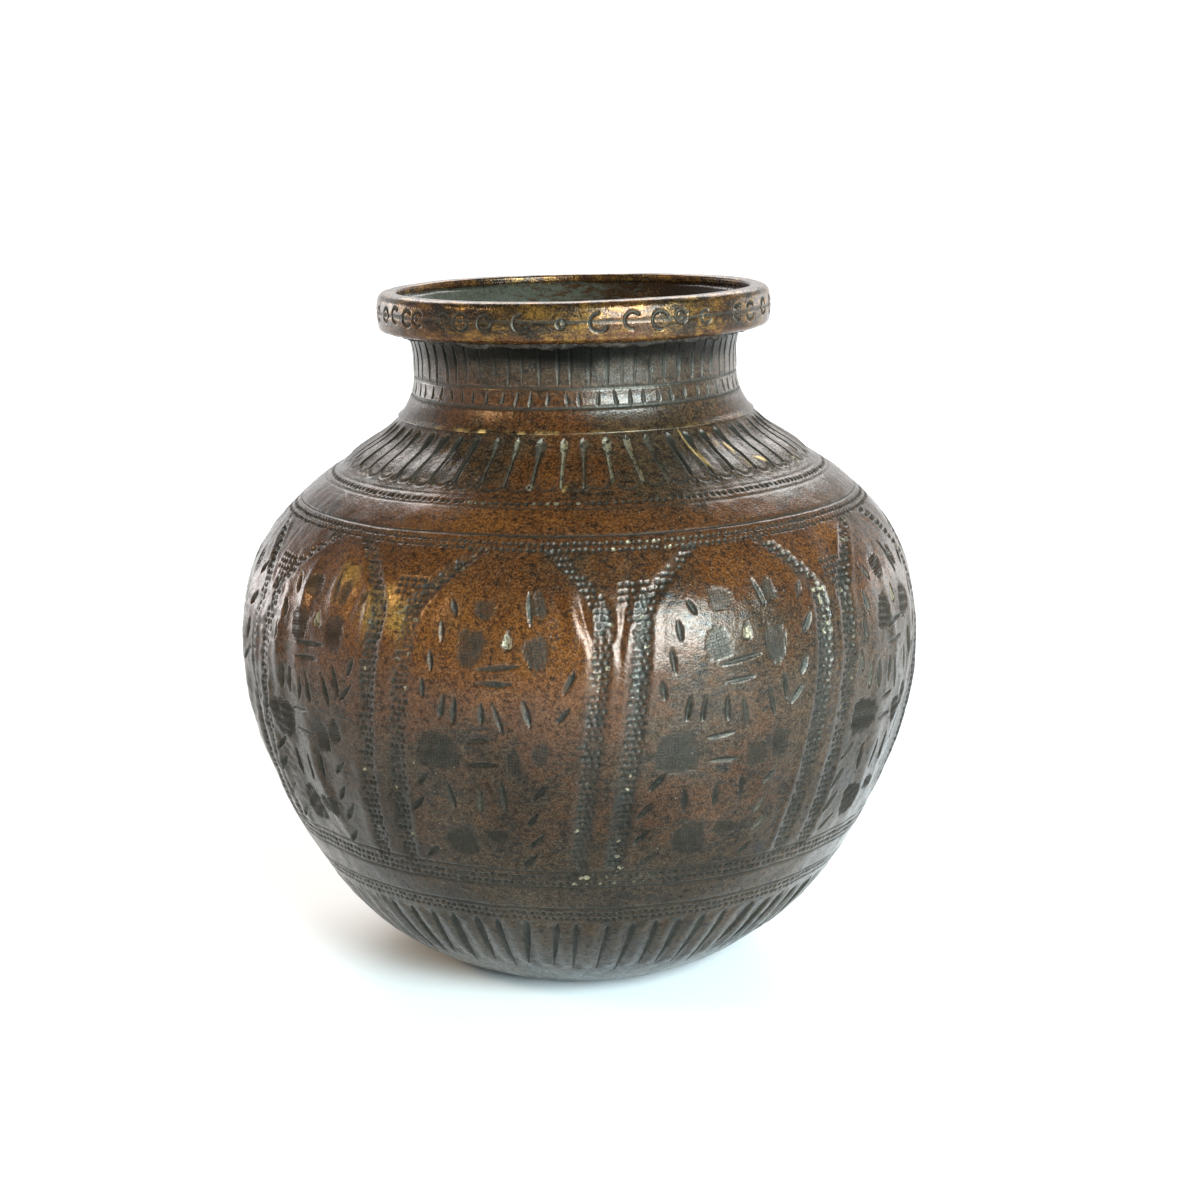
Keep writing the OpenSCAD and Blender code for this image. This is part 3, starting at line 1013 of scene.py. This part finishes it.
class AgedMetal(Finish):
    """Dark bronze patina, warmer where handled and gold at a few painted highlights, with grey dirt lodged
    in the struck marks.
    """

    def __init__(self, name, gold=0.0, dirt=1.0):
        super().__init__(name)
        self.gold, self.dirt = gold, dirt
        self.broad = self.noise(60, 3, 0.5)
        self.middling = self.noise(230, 5, 0.62, distort=0.4)
        self.streaks = self.noise(420, 4, 0.6, stretch=(1, 1, 3.5))
        self.fine = self.noise(1100, 4, 0.7)
        self.grit = self.noise(2800, 2, 0.6)
        self.put("Base Color", self.soiled(self.lined(self.ground())))
        self.shine()

    def ground(self):
        """The metal between the marks, from dark brown to old gold, blotted and pitted."""
        uneven = self.math("MULTIPLY_ADD", self.math("ADD", self.middling, self.streaks), 0.9, -0.9)
        warm = self.math("ADD", self.map("warm"), uneven)
        colour = self.mix(self.ramp(uneven, -0.3, 0.12), DARK_BROWN, UMBER)
        # The warmest places reach old gold; the small ones on the left front are a painted golden
        # highlight.
        for low, high, paint in ((0.1, 0.6, RED_BROWN), (0.5, 1.2, ORANGE), (1.15, 1.8, OLD_GOLD)):
            colour = self.mix(self.ramp(warm, low, high), colour, paint)
        if self.gold:
            yellow = self.ramp(self.math("ADD", self.fine, uneven), 0.45, 0.75, 0.0, self.gold)
            colour = self.mix(yellow, colour, OLD_GOLD)
        self.blots = self.ramp(self.fine, 0.47, 0.67, 0.0, 0.72)
        self.pits = self.ramp(self.grit, 0.46, 0.64, 0.0, 0.45)
        for dark in (self.blots, self.pits):
            colour = self.mix(dark, colour, DARK_BROWN)
        return self.mix(self.ramp(self.grit, 0.34, 0.46, 0.12, 0.0), colour, PALE_DIRT)

    def lined(self, colour):
        """Grey and red-brown where the map says that the face is an inside one."""
        redder = self.ramp(self.math("ADD", self.streaks, self.map("warm")), 0.75, 1.0)
        lining = self.mix(redder, INSIDE_GREY, INSIDE_RED)
        return self.mix(self.map("inside"), colour, lining)

    def soiled(self, colour):
        """Thin film, packed dirt, black for painted shade and for a darkening towards the foot, cream dust,
        and on top the brass that is rubbed bare, on the neck step partly a painted glint.
        """
        dirty = self.math("ADD", self.map("film"), self.ramp(self.broad, 0.5, 0.75, 0.0, 0.28))
        self.film = self.math("MULTIPLY", dirty,
                              self.ramp(self.middling, 0.35, 0.65, 0.25, 0.9 * self.dirt))
        colour = self.mix(self.film, colour, GREY_DIRT)
        self.grime = self.math("MULTIPLY", self.map("grime"), self.ramp(self.middling, 0.3, 0.6, 0.55, 1.0))
        soil = self.mix(self.ramp(self.grit, 0.5, 0.68, 0.0, 0.2), GREY_DIRT, PALE_DIRT)
        colour = self.mix(self.grime, colour, soil)
        # Black where the map holds painted shade and the darkening towards the foot.
        colour = self.mix(self.map("soot"), colour, SOOT_AND_SHADE)
        dust = self.math("MULTIPLY", self.ramp(self.map("pale"), 0.45, 0.85),
                         self.ramp(self.fine, 0.40, 0.55))
        colour = self.mix(dust, colour, PALE_DIRT)
        # Bare brass: wear, and on the neck step partly a painted glint.
        worn = self.math("MULTIPLY", self.map("rubbed"), self.ramp(self.middling, 0.38, 0.55))
        return self.mix(worn, colour, BRASS)

    def shine(self):
        """Glossy ground, dull dirt. Dark places count as metal so that they stay dark."""
        dull = self.math("MAXIMUM", self.math("MULTIPLY", self.grime, 0.85),
                         self.math("MULTIPLY", self.film, 0.3))
        bare = self.mix_value(self.math("MAXIMUM", self.blots, self.pits), 0.15 + 0.45 * self.gold, 0.9)
        metal = self.mix_value(self.map("soot"), self.mix_value(self.grime, bare, 0.75), 1.0)
        self.put("Metallic", metal)
        rough = self.mix_value(dull, self.ramp(self.fine, 0.3, 0.7, 0.14, 0.30), 0.62)
        self.put("Roughness", rough)
        self.put("IOR", 1.43)
        self.put("Normal", self.bump(self.grit, 0.045, self.bump(self.fine, 0.06)))


def spelter(name, dark):
    """Lumpy braze metal, yellow where it is clean."""
    f = Finish(name)
    lumps = f.noise(700, 4, 0.6)
    grit = f.noise(2200, 3, 0.6)
    colour = f.mix(f.ramp(lumps, 0.4, 0.65), DARK_BROWN, BRASS if not dark else (0.07, 0.055, 0.04))
    f.put("Base Color", f.mix(f.ramp(grit, 0.55, 0.7, 0, 0.4), colour, GREY_DIRT))
    f.put("Metallic", 0.4)
    f.put("Roughness", f.ramp(grit, 0.3, 0.7, 0.45, 0.75))
    f.put("Normal", f.bump(lumps, 0.15))
    return f.material


def dress(piece, material, cad_node):
    """Gives a piece its finish and puts it in the place of a CAD node."""
    piece.data.materials.append(material)
    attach(piece, "root")
    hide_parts(cad_node)


dress(build_lower_bowl(), AgedMetal("bowl_patina").material, "lower_bowl")
dress(build_upper_body(), AgedMetal("shoulder_patina").material, "upper_body")
dress(build_neck(), AgedMetal("neck_patina").material, "neck")
dress(build_rim_ring(), AgedMetal("rim_patina", gold=0.85, dirt=0.2).material, "rim_ring")
# The braze in the crevice under the ring is dark brown, not brass.
dress(build_bead("rim_braze_bead", (NECK_R + 1.5, RIM_Z - 0.25), 0.9, 71),
      spelter("dark_spelter", True), "rim_braze")
lap = inner_point(LAP_S)
dress(build_bead("neck_braze_bead", (lap[0] - 0.1, lap[1]), 0.7, 81, 0.25),
      spelter("neck_spelter", False), "neck_braze")
dress(build_bead("belly_braze_bead", (BELLY_R - WALL, BELLY_Z), 3.0, 91, 0.12, squash=0.22),
      spelter("belly_spelter", False), "belly_braze")


# ---- floor, light, camera
FLOOR_REACH = 1.7
FLOOR_SIDES = 96
# The point that both windows face.
WINDOWS_AIM = (0, 0, 0.084)
LENS = 65.5
SENSOR = 36.0
CAMERA_AT = (0.00406, -0.4179, 0.1612)
CAMERA_DOWN = 12.375


def build_floor():
    """A plain pale disc to stand on."""
    mesh = bpy.data.meshes.new("floor")
    turns = [2 * math.pi * k / FLOOR_SIDES for k in range(FLOOR_SIDES)]
    edge = [(FLOOR_REACH * math.cos(turn), FLOOR_REACH * math.sin(turn), 0) for turn in turns]
    mesh.from_pydata(edge, [], [tuple(range(FLOOR_SIDES))])
    floor = linked("floor", mesh)
    f = Finish("pale_floor")
    f.put("Base Color", (0.86, 0.86, 0.86, 1))
    f.put("Roughness", 0.5)
    mesh.materials.append(f.material)


def area_light(name, stand, aim, size, power, colour=(1, 1, 1)):
    """A rectangular soft light at a place, facing a point."""
    lamp = bpy.data.lights.new(name, "AREA")
    lamp.shape = "RECTANGLE"
    lamp.size, lamp.size_y = size
    lamp.energy = power
    lamp.color = colour
    holder = linked(name, lamp)
    holder.location = stand
    holder.rotation_euler = (Vector(aim) - Vector(stand)).to_track_quat("-Z", "Y").to_euler()


def build_world():
    """A pale room: bright low down behind and beside the pot, dark overhead and in front."""
    world = bpy.data.worlds.new("studio")
    bpy.context.scene.world = world
    world.use_nodes = True
    tree = world.node_tree
    back = tree.nodes["Background"]
    where = node(tree, "ShaderNodeTexCoord")
    facing = node(tree, "ShaderNodeVectorMath", operation="DOT_PRODUCT")
    facing.inputs[1].default_value = (0, 0.45, -0.9)
    tree.links.new(where.outputs["Generated"], facing.inputs[0])
    ramp = node(tree, "ShaderNodeMapRange", interpolation_type="SMOOTHSTEP")
    tree.links.new(facing.outputs["Value"], ramp.inputs["Value"])
    for key, value in (("From Min", -0.9), ("From Max", 0.4), ("To Min", 0.06), ("To Max", 1.15)):
        ramp.inputs[key].default_value = value
    tree.links.new(ramp.outputs["Result"], back.inputs["Strength"])
    back.inputs["Color"].default_value = (1, 1, 1, 1)


def build_camera():
    """The photograph's viewpoint: a little above the mouth, looking slightly down."""
    lens = bpy.data.cameras.new("camera")
    lens.sensor_width = SENSOR
    lens.lens = LENS
    lens.clip_start = 0.01
    camera = linked("camera", lens)
    camera.location = CAMERA_AT
    camera.rotation_euler = Euler((math.radians(90 - CAMERA_DOWN), 0, 0))
    bpy.context.scene.camera = camera


build_floor()
build_world()
area_light("window", (0.445, -0.69, 0.394), WINDOWS_AIM, (0.49, 0.42), 24.5, (0.75, 0.94, 1.0))
area_light("far_window", (-0.85, -0.40, 0.614), WINDOWS_AIM, (0.11, 0.14), 3.1, (1.0, 0.72, 0.38))
area_light("left_box", (-1.25, 0.85, 0.14), (0, 0, 0.04), (0.9, 0.3), 4.5)
area_light("right_box", (1.1, 0.8, 0.16), (0, 0, 0.02), (0.9, 0.24), 2)
area_light("back_box", (0, 1.4, 1.3), (0, 0.4, 0), (2.0, 1.0), 38)
build_camera()
bpy.context.scene.view_settings.view_transform = "Standard"
